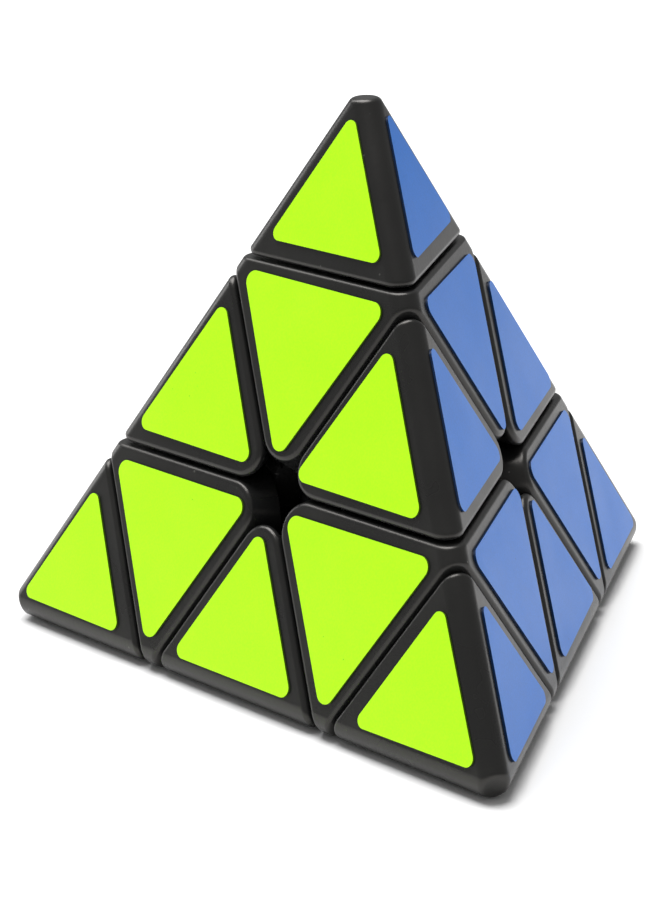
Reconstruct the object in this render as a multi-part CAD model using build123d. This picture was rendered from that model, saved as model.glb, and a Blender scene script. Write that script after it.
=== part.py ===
from build123d import *
import math
import os

# A pyramid twisty puzzle: four corner layers and four small corner tips turn on a
# spring-loaded core, and six edge pieces ride between the layers on inner feet.
# Lengths in mm. The origin is the centre of the core, where all turning axes cross.

# Whole body
edge_length = 105.5        # sharp edge of the tetrahedron, before rounding
outer_radius = 2.6         # rounding of the six long edges and four points
point_drop = 0.8           # how far each rounded point is blunted
point_rim = 1.0            # rounding round a blunted point
reach = 300.0              # side of the blocks that stand in for half spaces
touch = 0.001              # distance below which two shapes count as touching

# Gaps and roundings between pieces
layer_gap = 0.35           # free space between two layers
tip_gap = 0.35             # free space under a tip
layer_rim = 0.8            # rounding of a piece along a layer cut
tip_rim = 0.7              # rounding along a tip cut
star_radius = 4.1          # plan rounding of a block corner at a face centre
inner_edge_radius = 4.1    # rounding of the inmost edge of an edge piece

# Core and the slip surfaces under the blocks
slip_radius = 17.2         # sphere on which blocks and feet slide
hub_radius = 11.65         # ball of the core
foot_inner_radius = 12.0   # inner limit of the feet
inner_cut = 1.2            # height of the layer cut inside the slip sphere
boss_radius = 4.6          # flat boss on the ball under each block
boss_top = 12.6            # height of that boss along its axis
stalk_radius = 5.4         # stalk of a block, standing over the boss
stalk_bottom = 12.9        # lower end of the stalk

# Screw, spring, washer and the bore that holds them
bore_radius = 4.55         # bore down the axis of a block
bore_floor = 17.8          # floor of the bore, the seat of the spring
shank_radius = 1.5         # screw shank
shank_fit = 0.06           # radial play of the shank in the floor of the bore
pilot_fit = 0.02           # radial play of the shank in the ball
shank_end = 4.5            # lower end of the screw
washer_bottom = 24.2
washer_thick = 0.5
washer_radius = 4.1
washer_hole = 1.65
head_radius = 3.3
head_height = 2.3
head_rounding = 0.9
recess_length = 3.8        # cross recess in the screw head
recess_width = 0.8
recess_depth = 1.2
spring_radius = 3.1        # mean radius of the coil
spring_wire = 0.3          # radius of the wire
spring_turns = 5
seat_gap = 0.05            # play at each end of the spring

# Tip: sealed hollow shell on a split stem that snaps into the bore
tip_wall = 1.9
socket_depth = 9.0         # depth of the socket for the stem in the tip
socket_fit = 0.02          # play of the stem in its socket
stem_radius = 4.45
stem_bottom = 28.3
stem_bore = 2.9            # hollow of the stem
stem_bore_top = 35.0
slot_width = 1.3           # slots that let the stem spring inwards
slot_top = 33.4
bead_height = 30.2         # snap bead and its groove, along the axis
bead_radius = 0.35
groove_radius = 0.5
stem_lead = 0.5            # chamfer on the end of the stem

# Stickers, distances measured in the plane of a face
sticker_thick = 0.3
tip_sticker_base = 27.3    # from the corner point to the far side
tip_sticker_inset = 4.0    # from the long edges of the face
block_sticker_top = 32.2   # from the corner point to the near side
block_sticker_inset = 2.0  # beyond the layer cuts
edge_sticker_inset = 4.2   # from the long edge of the face
edge_sticker_margin = 2.5  # inside the layer cuts
tip_sticker_round = 1.15
block_sticker_round = 1.55
edge_sticker_round = 1.3

# Stickers laid by hand: up the face, across it, and turn in degrees
hand_laid = {
    "tip_sticker_top_green": (0.0, -0.6, -0.1),
    "tip_sticker_left_green": (0.15, -0.15, -0.4),
    "tip_sticker_front_green": (0.05, 0.25, 0.7),
    "block_sticker_top_green": (0.05, -0.1, -0.8),
    "block_sticker_left_green": (0.0, 0.15, -0.25),
    "block_sticker_front_green": (0.15, 0.05, 0.25),
    "edge_sticker_top_left_green": (0.3, 0.1, -0.8),
    "edge_sticker_top_front_green": (-0.1, 0.55, -0.6),
    "edge_sticker_left_front_green": (0.2, 0.15, 0.05),
    "tip_sticker_top_blue": (0.1, 0.25, 0.4),
    "tip_sticker_right_blue": (-0.5, -0.2, -0.35),
    "tip_sticker_front_blue": (-0.4, 0.4, 0.05),
    "block_sticker_top_blue": (-0.4, -0.2, -0.75),
    "block_sticker_right_blue": (0.1, 0.05, -0.15),
    "block_sticker_front_blue": (-0.25, 0.2, 0.05),
    "edge_sticker_top_right_blue": (0.0, -0.6, -0.2),
    "edge_sticker_top_front_blue": (0.3, 0.9, 0.0),
    "edge_sticker_front_right_blue": (-0.5, 0.0, 0.6),
}
unmeasured_shift = 0.2     # how far the other stickers stray
unmeasured_turn = 0.4

# Derived
height = edge_length * math.sqrt(2 / 3)
altitude = edge_length * math.sqrt(3) / 2
face_depth = height / 4
layer_cut = height / 12
tip_cut = 5 * height / 12
point_top = 3 * height / 4 - 2 * outer_radius - point_drop
lean = math.sqrt(8) / 3    # sine of the angle between two corner axes
draft = math.sqrt(1 / 8)   # slope of a layer cut against the normal of a face

corner_turns = {"front": -90, "right": 30, "left": 150}
corners = {"top": Vector(0, 0, 1)}
for corner_name, turn in corner_turns.items():
    bearing = math.radians(turn)
    corners[corner_name] = Vector(lean * math.cos(bearing), lean * math.sin(bearing), -1 / 3)
faces = {
    "green": ("top", "left", "front"),
    "blue": ("top", "front", "right"),
    "red": ("top", "right", "left"),
    "yellow": ("front", "left", "right"),
}
edge_pairs = [
    ("top", "front"),
    ("top", "right"),
    ("top", "left"),
    ("front", "right"),
    ("right", "left"),
    ("left", "front"),
]


def beyond(axis, distance):
    # Everything farther out along an axis than a distance.
    side = Plane(origin=axis * distance, z_dir=axis)
    return side * Box(reach, reach, reach, align=(Align.CENTER, Align.CENTER, Align.MIN))


def within(axis, distance):
    return beyond(axis * -1, -distance)


def pyramid(inset):
    solid = Sphere(reach / 2)
    for axis in corners.values():
        solid = solid & beyond(axis, inset - face_depth)
    return solid


def rod(radius, bottom, top):
    # Round bar along the top axis.
    bar = Cylinder(radius, top - bottom, align=(Align.CENTER, Align.CENTER, Align.MIN))
    return Pos(0, 0, bottom) * bar


def across(axis, other):
    # Unit vector square to an axis, leaning to another one.
    return (other - axis * axis.dot(other)).normalized()


def corner_frame(axis, other):
    return Plane(origin=(0, 0, 0), x_dir=across(axis, other), z_dir=axis)


def carried_to(first, second):
    # Turns the whole pyramid so that top goes to the first corner and front to the second.
    start = corner_frame(corners["top"], corners["front"])
    end = corner_frame(corners[first], corners[second])
    return end.location * start.location.inverse()


def rims(piece, skin):
    # Edges cut into the outer skin, without the seams the skin itself has.
    found = ShapeList()
    for edge in piece.edges():
        middle = edge @ 0.5
        if skin.shell().distance_to(middle) > touch:
            continue
        if min(seam.distance_to(middle) for seam in skin.edges()) > touch:
            found.append(edge)
    return found


def star_corner(axis, opposite):
    # Waste at the corner of a block where three layers meet at a face centre. A cone
    # touching both layer cuts makes the rounding, and a plane through the two lines of
    # touch ends it.
    centre = opposite * -face_depth
    toward = across(opposite, axis)
    offset = layer_gap / 2 / lean / math.sin(math.radians(30)) + 2 * star_radius
    depth = 4 * star_radius
    start = centre + toward * offset - opposite
    cone = Cone(
        star_radius - draft,
        star_radius + draft * depth,
        depth + 1,
        align=(Align.CENTER, Align.CENTER, Align.MIN),
    )
    rounding = Plane(origin=start, z_dir=opposite) * cone
    chord = toward + opposite * (draft / 2)
    chord_point = centre + toward * (offset - star_radius / 2)
    chord_axis = chord.normalized()
    kept = beyond(chord_axis, chord_axis.dot(chord_point))
    waste = Pos(centre) * Sphere(2.6 * star_radius)
    return waste - rounding - kept


def make_block(skin):
    top = corners["top"]
    others = [axis for axis in corners.values() if axis != top]
    block = skin & beyond(top, layer_cut + layer_gap / 2)
    block = block & within(top, tip_cut - tip_gap / 2)
    for axis in others:
        block = block & within(axis, layer_cut - layer_gap / 2)
    for axis in others:
        block = block - star_corner(top, axis)
    rim = rims(block, skin)
    tip_side = rim.filter_by(lambda edge: abs((edge @ 0.5).Z - tip_cut + tip_gap / 2) < touch)
    block = fillet(tip_side, tip_rim)
    layer_side = rims(block, skin).filter_by(lambda edge: (edge @ 0.5).Z < tip_cut - tip_gap)
    block = fillet(layer_side, layer_rim)
    block = block - Sphere(slip_radius + layer_gap / 2)
    block = block + rod(stalk_radius, stalk_bottom, bore_floor + 1)
    block = block - rod(bore_radius, bore_floor, height)
    block = block - rod(shank_radius + shank_fit, 0, height)
    return block - Pos(0, 0, bead_height) * Torus(bore_radius, groove_radius)


def make_edge(skin):
    pair = [corners["top"], corners["front"]]
    others = [axis for axis in corners.values() if axis not in pair]
    outer = skin
    foot = Sphere(slip_radius - layer_gap / 2) - Sphere(foot_inner_radius + layer_gap / 2)
    neck = Sphere(slip_radius + layer_gap)
    neck = neck - Sphere(slip_radius - layer_gap)
    for axis in pair:
        outer = outer & beyond(axis, layer_cut + layer_gap / 2)
        foot = foot & beyond(axis, inner_cut + layer_gap / 2)
        neck = neck & beyond(axis, layer_cut + layer_gap / 2)
    for axis in others:
        foot = foot & within(axis, inner_cut - layer_gap / 2)
        neck = neck & within(axis, inner_cut - layer_gap / 2)
    inmost = outer.edges().sort_by_distance((0, 0, 0))[0]
    outer = fillet(inmost, inner_edge_radius)
    outer = fillet(rims(outer, skin), layer_rim)
    outer = outer - Sphere(slip_radius + layer_gap / 2)
    return outer + neck + foot


def make_tip_shell(skin):
    top = corners["top"]
    shell = skin & beyond(top, tip_cut + tip_gap / 2)
    shell = fillet(rims(shell, skin), tip_rim)
    base = tip_cut + tip_gap / 2
    hollow = pyramid(tip_wall) & beyond(top, base + tip_wall) & within(top, point_top - tip_wall)
    hollow = hollow - rod(stem_radius + tip_wall, base, base + socket_depth + tip_wall)
    return shell - hollow - rod(stem_radius + socket_fit, base - 1, base + socket_depth)


def make_tip_stem():
    end = tip_cut + tip_gap / 2 + socket_depth - seat_gap
    stem = chamfer(rod(stem_radius, stem_bottom, end).edges().sort_by(Axis.Z)[0], stem_lead)
    stem = stem + Pos(0, 0, bead_height) * Torus(stem_radius, bead_radius)
    stem = stem - rod(stem_bore, 0, stem_bore_top)
    for turn in (0, 90):
        slot = Box(4 * stem_radius, slot_width, slot_top - stem_bottom + 1)
        stem = stem - Pos(0, 0, (slot_top + stem_bottom - 1) / 2) * Rot(0, 0, turn) * slot
    return stem


def make_hub():
    hub = Sphere(hub_radius)
    for axis in corners.values():
        hub = hub + Plane(origin=(0, 0, 0), z_dir=axis) * rod(boss_radius, 0, boss_top)
    for axis in corners.values():
        pilot = rod(shank_radius + pilot_fit, shank_end - 1, boss_top + 1)
        hub = hub - Plane(origin=(0, 0, 0), z_dir=axis) * pilot
    return hub


def make_screw():
    seat = washer_bottom + washer_thick
    head = rod(head_radius, seat, seat + head_height)
    head = fillet(head.edges().sort_by(Axis.Z)[-1], head_rounding)
    screw = head + rod(shank_radius, shank_end, seat + 1)
    screw = chamfer(screw.edges().sort_by(Axis.Z)[0], shank_radius / 2)
    for turn in (0, 90):
        arm = Box(recess_length, recess_width, 2 * recess_depth)
        screw = screw - Pos(0, 0, seat + head_height) * Rot(0, 0, turn) * arm
    return screw


def make_washer():
    ring = rod(washer_radius, washer_bottom, washer_bottom + washer_thick)
    return ring - rod(washer_hole, 0, height)


def make_spring():
    length = washer_bottom - bore_floor - 2 * spring_wire - 2 * seat_gap
    path = Helix(length / spring_turns, length, spring_radius)
    section = Plane(origin=path @ 0, z_dir=path % 0) * Circle(spring_wire)
    return Pos(0, 0, bore_floor + spring_wire + seat_gap) * sweep(section, path)


def sticker(names, distances, rounding, stray):
    # A rounded triangle on one face. Each distance is how far a side keeps from the
    # long edge opposite the corner of the same name. Stray shifts and turns it.
    axes = [corners[name] for name in names]
    outward = (axes[0] + axes[1] + axes[2]).normalized()
    centre = outward * face_depth
    toward = [across(outward, axis) for axis in axes]
    plane = Plane(origin=centre, x_dir=toward[0], z_dir=outward)
    points = []
    for left_out in range(3):
        values = list(distances)
        values[left_out] = altitude - sum(distances) + distances[left_out]
        spot = Vector(0, 0, 0)
        for value, way in zip(values, toward):
            spot = spot + way * ((value - altitude / 3) * 2 / 3)
        points.append((spot.dot(plane.x_dir), spot.dot(plane.y_dir)))
    outline = Polygon(*points, align=None)
    outline = fillet(outline.vertices(), rounding)
    middle = outline.center()
    turned = Pos(middle) * Rot(0, 0, stray[2]) * Pos(-middle) * outline
    laid = Pos(stray[0], stray[1], 0) * turned
    return plane * extrude(laid, sticker_thick, dir=(0, 0, 1))


def stray_of(label):
    if label in hand_laid:
        return hand_laid[label]
    number = sum(ord(letter) for letter in label)
    along = unmeasured_shift * math.sin(number)
    aside = unmeasured_shift * math.cos(2 * number)
    return (along, aside, unmeasured_turn * math.sin(3 * number))


def sticker_set():
    made = {}
    near_cut = altitude / 3
    for colour, names in faces.items():
        for name in names:
            ordered = (name,) + tuple(other for other in names if other != name)
            sides = (altitude - tip_sticker_base, tip_sticker_inset, tip_sticker_inset)
            label = f"tip_sticker_{name}_{colour}"
            made[label] = sticker(ordered, sides, tip_sticker_round, stray_of(label))
            beyond_cut = near_cut - block_sticker_inset
            sides = (altitude - block_sticker_top, beyond_cut, beyond_cut)
            label = f"block_sticker_{name}_{colour}"
            made[label] = sticker(ordered, sides, block_sticker_round, stray_of(label))
        for pair in edge_pairs:
            if set(pair) <= set(names):
                last = [name for name in names if name not in pair][0]
                margin = near_cut + edge_sticker_margin
                sides = (margin, margin, edge_sticker_inset)
                label = f"edge_sticker_{pair[0]}_{pair[1]}_{colour}"
                made[label] = sticker(pair + (last,), sides, edge_sticker_round, stray_of(label))
    return made


def four_of(piece):
    # The same piece on each corner axis, as one group of separate solids.
    solids = []
    for name in corners:
        second = "front" if name != "front" else "top"
        solids += (carried_to(name, second) * piece).solids()
    return Compound(solids)


def make_skin():
    # Whole outer surface, with the long edges rounded and the points blunted.
    skin = fillet(pyramid(0).edges(), outer_radius)
    for axis in corners.values():
        skin = skin & within(axis, point_top)
        tops = skin.edges().filter_by(lambda edge: abs((edge @ 0.5).dot(axis) - point_top) < touch)
        skin = fillet(tops, point_rim)
    return skin


def build_parts():
    skin = make_skin()
    block = make_block(skin)
    edge = make_edge(skin)
    shell = make_tip_shell(skin)
    stem = make_tip_stem()
    made = {
        "core_hub": make_hub(),
        "tension_screws": four_of(make_screw()),
        "tension_springs": four_of(make_spring()),
        "screw_washers": four_of(make_washer()),
    }
    for name in corners:
        second = "front" if name != "front" else "top"
        place = carried_to(name, second)
        made[f"corner_block_{name}"] = place * block
        made[f"tip_shell_{name}"] = place * shell
        made[f"tip_stem_{name}"] = place * stem
    for first, second in edge_pairs:
        made[f"edge_piece_{first}_{second}"] = carried_to(first, second) * edge
    made.update(sticker_set())
    return made


def export_all():
    os.makedirs("parts", exist_ok=True)
    for name, piece in build_parts().items():
        piece.label = name
        export_step(piece, f"parts/{name}.step")


export_all()
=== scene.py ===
import bpy
import math
import numpy as np
from mathutils import Matrix, Vector


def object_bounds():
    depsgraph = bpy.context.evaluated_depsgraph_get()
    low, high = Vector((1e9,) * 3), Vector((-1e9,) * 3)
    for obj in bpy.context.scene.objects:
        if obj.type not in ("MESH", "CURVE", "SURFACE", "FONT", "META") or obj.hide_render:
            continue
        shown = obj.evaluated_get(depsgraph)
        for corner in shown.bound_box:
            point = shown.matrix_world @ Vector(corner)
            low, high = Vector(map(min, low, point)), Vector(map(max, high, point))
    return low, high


# Pyramid twisty puzzle: the moulded pieces come from the frame and keep their shape,
# this file gives them their finishes, the studio around them and the camera.

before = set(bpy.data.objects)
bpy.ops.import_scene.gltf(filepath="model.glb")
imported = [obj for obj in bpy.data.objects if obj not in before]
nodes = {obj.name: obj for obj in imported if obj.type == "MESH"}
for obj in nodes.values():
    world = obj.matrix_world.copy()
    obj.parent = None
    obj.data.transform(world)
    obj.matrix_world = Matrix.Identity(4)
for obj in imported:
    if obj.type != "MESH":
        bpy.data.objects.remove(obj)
cadBox = [list(corner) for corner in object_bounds()]
print("frame loaded:", len(nodes), "nodes")


def newGroup(name, inputs, outputs):
    # A shader node group with named sockets: inputs carry a kind and a start value.
    group = bpy.data.node_groups.new(name, "ShaderNodeTree")
    for label, kind, value in inputs:
        socket = group.interface.new_socket(label, in_out="INPUT", socket_type=kind)
        socket.default_value = value
    for label, kind in outputs:
        group.interface.new_socket(label, in_out="OUTPUT", socket_type=kind)
    start = group.nodes.new("NodeGroupInput")
    end = group.nodes.new("NodeGroupOutput")
    return group, start, end


def addNoise(tree, place, scale, detail, rough=0.5):
    noise = tree.nodes.new("ShaderNodeTexNoise")
    noise.inputs["Detail"].default_value = detail
    noise.inputs["Roughness"].default_value = rough
    tree.links.new(place, noise.inputs["Vector"])
    if isinstance(scale, (int, float)):
        noise.inputs["Scale"].default_value = scale
    else:
        tree.links.new(scale, noise.inputs["Scale"])
    return noise.outputs["Fac"]


def addMath(tree, kind, first, second):
    step = tree.nodes.new("ShaderNodeMath")
    step.operation = kind
    for slot, value in enumerate((first, second)):
        if isinstance(value, (int, float)):
            step.inputs[slot].default_value = value
        else:
            tree.links.new(value, step.inputs[slot])
    return step.outputs[0]


def addRange(tree, value, low, high, toLow, toHigh):
    ramp = tree.nodes.new("ShaderNodeMapRange")
    tree.links.new(value, ramp.inputs["Value"])
    limits = (("From Min", low), ("From Max", high), ("To Min", toLow), ("To Max", toHigh))
    for label, number in limits:
        if isinstance(number, (int, float)):
            ramp.inputs[label].default_value = number
        else:
            tree.links.new(number, ramp.inputs[label])
    return ramp.outputs["Result"]


def makeMouldGrain():
    # Fine tooth of a moulded or printed surface: small noise on a slow swell.
    group, start, end = newGroup(
        "mouldGrain",
        [
            ("Vector", "NodeSocketVector", (0, 0, 0)),
            ("Grain Scale", "NodeSocketFloat", 2500.0),
            ("Swell Scale", "NodeSocketFloat", 60.0),
            ("Swell Share", "NodeSocketFloat", 0.3),
        ],
        [("Height", "NodeSocketFloat"), ("Swell", "NodeSocketFloat")],
    )
    place = start.outputs["Vector"]
    fine = addNoise(group, place, start.outputs["Grain Scale"], 2.0)
    swell = addNoise(group, place, start.outputs["Swell Scale"], 1.0)
    lifted = addMath(group, "MULTIPLY", swell, start.outputs["Swell Share"])
    group.links.new(addMath(group, "ADD", fine, lifted), end.inputs["Height"])
    group.links.new(swell, end.inputs["Swell"])
    return group


handlingLook = {
    "smudgeBand": (0.42, 0.68),    # noise values where a smudge begins and is full
    "rareScale": 90.0,             # size of the patches that hold specks
    "rareBand": (0.60, 0.66),
}


def makeHandling():
    # Marks of use: smudges where fingers rub, and a few lint specks.
    group, start, end = newGroup(
        "handling",
        [
            ("Vector", "NodeSocketVector", (0, 0, 0)),
            ("Smudge Scale", "NodeSocketFloat", 45.0),
            ("Speck Scale", "NodeSocketFloat", 420.0),
            ("Speck Limit", "NodeSocketFloat", 0.07),
        ],
        [("Smudge", "NodeSocketFloat"), ("Speck", "NodeSocketFloat")],
    )
    place = start.outputs["Vector"]
    smudge = addNoise(group, place, start.outputs["Smudge Scale"], 4.0, 0.6)
    group.links.new(addRange(group, smudge, *handlingLook["smudgeBand"], 0.0, 1.0), end.inputs["Smudge"])
    cells = group.nodes.new("ShaderNodeTexVoronoi")
    group.links.new(place, cells.inputs["Vector"])
    group.links.new(start.outputs["Speck Scale"], cells.inputs["Scale"])
    few = addNoise(group, place, handlingLook["rareScale"], 0.0)
    rare = addRange(group, few, *handlingLook["rareBand"], 0.0, 1.0)
    near = addMath(group, "LESS_THAN", cells.outputs["Distance"], start.outputs["Speck Limit"])
    group.links.new(addMath(group, "MULTIPLY", near, rare), end.inputs["Speck"])
    return group


mouldGrain = makeMouldGrain()
handling = makeHandling()


def newMaterial(name):
    material = bpy.data.materials.new(name)
    material.use_nodes = True
    tree = material.node_tree
    shader = tree.nodes["Principled BSDF"]
    place = tree.nodes.new("ShaderNodeTexCoord").outputs["Object"]
    return material, tree, shader, place


def placeGroup(tree, group, place, values):
    node = tree.nodes.new("ShaderNodeGroup")
    node.node_tree = group
    tree.links.new(place, node.inputs["Vector"])
    for label, value in values.items():
        node.inputs[label].default_value = value
    return node


def mixColour(tree, factor, first, second, blend="MIX"):
    mix = tree.nodes.new("ShaderNodeMix")
    mix.data_type = "RGBA"
    mix.blend_type = blend
    for socket, value in ((mix.inputs[0], factor), (mix.inputs[6], first), (mix.inputs[7], second)):
        if isinstance(value, (int, float)):
            socket.default_value = value
        elif isinstance(value, tuple):
            socket.default_value = (*value, 1.0)
        else:
            tree.links.new(value, socket)
    return mix.outputs[2]


def addBump(tree, shader, height, strength, distance):
    bump = tree.nodes.new("ShaderNodeBump")
    bump.inputs["Strength"].default_value = strength
    bump.inputs["Distance"].default_value = distance
    tree.links.new(height, bump.inputs["Height"])
    tree.links.new(bump.outputs["Normal"], shader.inputs["Normal"])


plasticLook = {
    "shell": {
        "colour": (0.0130, 0.0134, 0.0134),
        "worn": (0.0165, 0.0167, 0.0163),
        "roughness": (0.27, 0.36),
        "sheen": (1.0, 0.95, 0.90),
        "speck": (0.085, 0.085, 0.080),
        "grain": 1500.0,
        "bump": 0.07,
    },
    "core": {
        "colour": (0.045, 0.046, 0.048),
        "worn": (0.06, 0.061, 0.063),
        "roughness": (0.42, 0.55),
        "sheen": (1.0, 1.0, 1.0),
        "speck": (0.12, 0.12, 0.12),
        "grain": 1100.0,
        "bump": 0.12,
    },
    "index": 1.48,                 # refractive index of the plastic
    "tooth": 0.0002,               # depth of the grain in metres
}


def makePlastic(name, look):
    # Semi-gloss moulded plastic, a little duller and paler where hands rub it.
    material, tree, shader, place = newMaterial(name)
    grain = placeGroup(tree, mouldGrain, place, {"Grain Scale": look["grain"]})
    marks = placeGroup(tree, handling, place, {})
    rubbed = mixColour(tree, marks.outputs["Smudge"], look["colour"], look["worn"])
    speckled = mixColour(tree, marks.outputs["Speck"], rubbed, look["speck"])
    tree.links.new(speckled, shader.inputs["Base Color"])
    low, high = look["roughness"]
    dull = addRange(tree, marks.outputs["Smudge"], 0.0, 1.0, low, high)
    tree.links.new(dull, shader.inputs["Roughness"])
    shader.inputs["IOR"].default_value = plasticLook["index"]
    shader.inputs["Specular Tint"].default_value = (*look["sheen"], 1.0)
    addBump(tree, shader, grain.outputs["Height"], look["bump"], plasticLook["tooth"])
    return material


stickerLook = {
    "green": {
        "colour": (0.480, 0.990, 0.005),
        "deep": (0.465, 0.975, 0.004),
        # painted glow: light the green film gives off of its own
        "paintedGlow": 0.15,
        "out": (-0.8165, -0.4714, 0.3333),    # the way its face looks
    },
    "blue": {
        "colour": (0.012, 0.185, 0.690),
        "deep": (0.010, 0.177, 0.665),
        "paintedGlow": 0.0,
        "out": (0.8165, -0.4714, 0.3333),
    },
    "red": {
        "colour": (0.640, 0.020, 0.022),
        "deep": (0.600, 0.016, 0.018),
        "paintedGlow": 0.0,
        "out": (0.0, 0.9428, 0.3333),
    },
    "yellow": {
        "colour": (0.930, 0.640, 0.015),
        "deep": (0.900, 0.600, 0.012),
        "paintedGlow": 0.0,
        "out": (0.0, 0.0, -1.0),
    },
    "film": {
        "roughness": (0.34, 0.40),
        "index": 1.42,
        "grain": 1900.0,
        "swell": 150.0,
        "bump": 0.06,
        "tooth": 0.0001,
        "fleckScale": 3600.0,
        "fleck": 0.06,             # how much lighter or darker a fleck is
        "speckLimit": 0.05,
        "speckShade": 0.5,
        # painted shade: the cut side keeps only this share of the colour
        "side": 0.10,              # brightness left on the cut side
        "sideShadeBand": (0.5, 0.9),    # from cut side to face, as a cosine
    },
}


def makeSticker(colourName):
    # Printed vinyl film: an even colour with a faint mottle, a fine tooth and soft smudges.
    look = stickerLook[colourName]
    film = stickerLook["film"]
    material, tree, shader, place = newMaterial(colourName + "Film")
    sizes = {"Grain Scale": film["grain"], "Swell Scale": film["swell"]}
    grain = placeGroup(tree, mouldGrain, place, sizes)
    marks = placeGroup(tree, handling, place, {"Speck Limit": film["speckLimit"]})
    mottle = addRange(tree, grain.outputs["Swell"], 0.35, 0.65, 0.0, 1.0)
    toned = mixColour(tree, mottle, look["colour"], look["deep"])
    fine = addNoise(tree, place, film["fleckScale"], 1.0)
    fleck = addRange(tree, fine, 0.3, 0.7, 1.0 - film["fleck"], 1.0 + film["fleck"])
    flecked = mixColour(tree, 1.0, toned, fleck, "MULTIPLY")
    # Painted shade: the cut side of the film is darkened in its colour, where the normal leaves the way
    # the face looks.
    facing = tree.nodes.new("ShaderNodeVectorMath")
    facing.operation = "DOT_PRODUCT"
    tree.links.new(tree.nodes["Texture Coordinate"].outputs["Normal"], facing.inputs[0])
    facing.inputs[1].default_value = look["out"]
    face = addRange(tree, facing.outputs["Value"], *film["sideShadeBand"], 0.0, 1.0)
    # painted shade colour for the cut side of the film
    side = tuple(film["side"] * part for part in look["deep"])
    base = mixColour(tree, face, side, flecked)
    speck = tuple(film["speckShade"] * part for part in look["deep"])
    tinted = mixColour(tree, marks.outputs["Speck"], base, speck)
    tree.links.new(tinted, shader.inputs["Base Color"])
    low, high = film["roughness"]
    dull = addRange(tree, marks.outputs["Smudge"], 0.0, 1.0, low, high)
    tree.links.new(dull, shader.inputs["Roughness"])
    shader.inputs["IOR"].default_value = film["index"]
    if look["paintedGlow"] > 0:
        # Painted glow: the film gives off light in its own colour with no lamp behind it, standing in
        # for how daylight ink gives back a little more light than falls on it.
        tree.links.new(base, shader.inputs["Emission Color"])
        shader.inputs["Emission Strength"].default_value = look["paintedGlow"]
    addBump(tree, shader, grain.outputs["Height"], film["bump"], film["tooth"])
    return material


metalLook = {
    "colour": (0.56, 0.55, 0.53),
    "dark": (0.40, 0.39, 0.38),
    "roughness": (0.24, 0.38),
    "grain": 3000.0,
    "swell": 300.0,
    "bump": 0.08,
    "tooth": 0.0001,
}


def makeMetal():
    # Zinc plated steel with a slight cloud.
    material, tree, shader, place = newMaterial("zincSteel")
    sizes = {"Grain Scale": metalLook["grain"], "Swell Scale": metalLook["swell"]}
    grain = placeGroup(tree, mouldGrain, place, sizes)
    cloud = addRange(tree, grain.outputs["Swell"], 0.3, 0.7, 0.0, 1.0)
    clouded = mixColour(tree, cloud, metalLook["colour"], metalLook["dark"])
    tree.links.new(clouded, shader.inputs["Base Color"])
    low, high = metalLook["roughness"]
    tree.links.new(addRange(tree, cloud, 0.0, 1.0, low, high), shader.inputs["Roughness"])
    shader.inputs["Metallic"].default_value = 1.0
    addBump(tree, shader, grain.outputs["Height"], metalLook["bump"], metalLook["tooth"])
    return material


def finishNodes():
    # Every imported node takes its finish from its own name.
    shell = makePlastic("blackShellPlastic", plasticLook["shell"])
    core = makePlastic("greyCorePlastic", plasticLook["core"])
    metal = makeMetal()
    films = {name: makeSticker(name) for name in ("green", "blue", "red", "yellow")}
    for name, node in nodes.items():
        ending = name.rsplit("_", 1)[-1]
        if "sticker" in name:
            chosen = films[ending]
        elif name == "core_hub":
            chosen = core
        elif name in ("tension_screws", "tension_springs", "screw_washers"):
            chosen = metal
        else:
            chosen = shell
        for slot in node.material_slots:
            slot.material = chosen
    print("finishes placed on", len(nodes), "nodes")


finishNodes()

studio = {
    "floorSize": 6.0,
    "floorColour": (0.93, 0.93, 0.93),
    "floorCloud": 0.99,            # brightness of the darker clouds in the floor
    "floorRoughness": 0.9,
    "floorGloss": 0.2,
    "skyStrength": 0.3,
    "overhead": {"at": (-0.10, 0.30, 1.2), "size": 0.9, "power": 20.0},
    "backPanel": {"at": (-0.45, 0.65, 0.75), "size": 0.45, "power": 2.2},
    "lowPanel": {"at": (-0.62, 0.80, 0.16), "size": 0.3, "power": 0.8},
}


def makeFloor():
    # Flat square: half the side times the four sign pairs, at the height the puzzle lies on.
    half = studio["floorSize"] / 2
    level = cadBox[0][2]
    signs = np.array([(-1, -1), (1, -1), (1, 1), (-1, 1)], float)
    points = np.column_stack((signs * half, np.full(4, level)))
    mesh = bpy.data.meshes.new("tableTop")
    mesh.from_pydata(points.tolist(), [], [(0, 1, 2, 3)])
    floor = bpy.data.objects.new("tableTop", mesh)
    bpy.context.scene.collection.objects.link(floor)
    material, tree, shader, place = newMaterial("paleTable")
    soft = addNoise(tree, place, 3.0, 2.0)
    pale = studio["floorColour"]
    tone = addRange(tree, soft, 0.3, 0.7, 0.0, 1.0)
    cloudy = tuple(studio["floorCloud"] * part for part in pale)
    tree.links.new(mixColour(tree, tone, pale, cloudy), shader.inputs["Base Color"])
    shader.inputs["Roughness"].default_value = studio["floorRoughness"]
    shader.inputs["Specular IOR Level"].default_value = studio["floorGloss"]
    mesh.materials.append(material)


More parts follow.
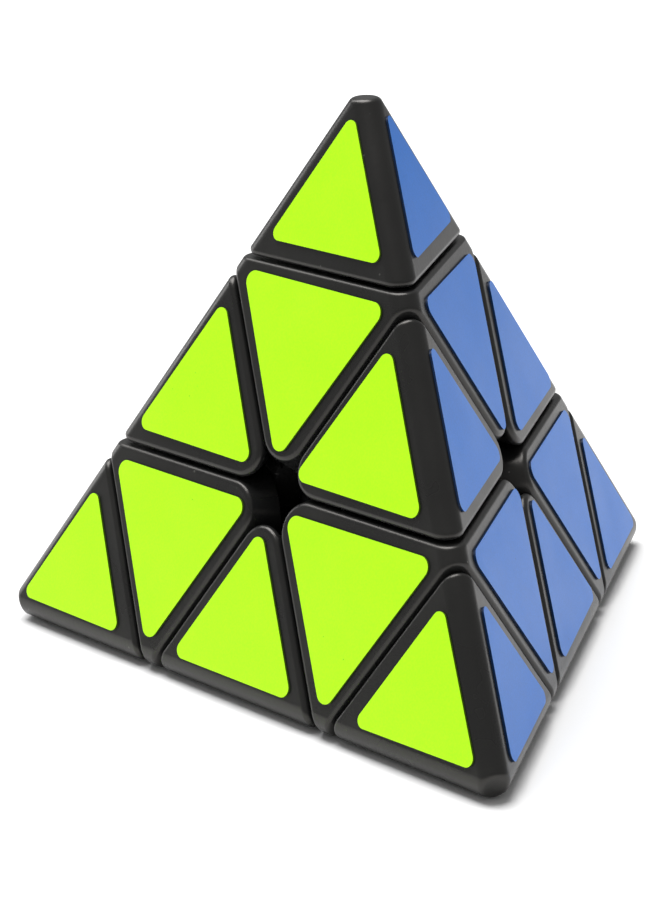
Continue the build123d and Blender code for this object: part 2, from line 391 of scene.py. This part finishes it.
def addPanel(name):
    # A square soft light that faces the puzzle.
    values = studio[name]
    lamp = bpy.data.lights.new(name, "AREA")
    lamp.shape = "SQUARE"
    lamp.size = values["size"]
    lamp.energy = values["power"]
    panel = bpy.data.objects.new(name, lamp)
    panel.location = values["at"]
    panel.rotation_euler = (-Vector(values["at"])).to_track_quat("-Z", "Y").to_euler()
    bpy.context.scene.collection.objects.link(panel)


def makeSky():
    # An even white sky, so the light comes softly from all round.
    world = bpy.data.worlds.new("studioSky")
    world.use_nodes = True
    background = world.node_tree.nodes["Background"]
    background.inputs["Color"].default_value = (1.0, 1.0, 1.0, 1.0)
    background.inputs["Strength"].default_value = studio["skyStrength"]
    bpy.context.scene.world = world
    # Plain colour transform: the default one greys the printed colours.
    bpy.context.scene.view_settings.view_transform = "Standard"


makeFloor()
makeSky()
for panelName in ("overhead", "backPanel", "lowPanel"):
    addPanel(panelName)
print("studio ready")

cameraView = {
    "turn": -13.71,          # degrees about the upright axis, from straight in front
    "height": 18.93,         # degrees above the level
    "lean": -1.94,           # degrees of roll
    "distance": 0.4010,
    "target": (-0.00661, 0.0, 0.00858),
    "lens": 113.6,
    "nearest": 0.01,
}


def makeCamera():
    # Stands back from the target along the turned and raised line of sight.
    turn = math.radians(cameraView["turn"])
    rise = math.radians(cameraView["height"])
    lean = math.radians(cameraView["lean"])
    back = Vector((math.sin(turn) * math.cos(rise), -math.cos(turn) * math.cos(rise), math.sin(rise)))
    right = Vector((math.cos(turn), math.sin(turn), 0.0))
    up = back.cross(right)
    sideways = right * math.cos(lean) + up * math.sin(lean)
    upward = up * math.cos(lean) - right * math.sin(lean)
    pose = Matrix((sideways, upward, back)).transposed().to_4x4()
    pose.translation = Vector(cameraView["target"]) + back * cameraView["distance"]
    lens = bpy.data.cameras.new("viewCamera")
    lens.lens = cameraView["lens"]
    lens.clip_start = cameraView["nearest"]
    camera = bpy.data.objects.new("viewCamera", lens)
    camera.matrix_world = pose
    bpy.context.scene.collection.objects.link(camera)
    bpy.context.scene.camera = camera


makeCamera()
print("camera set")
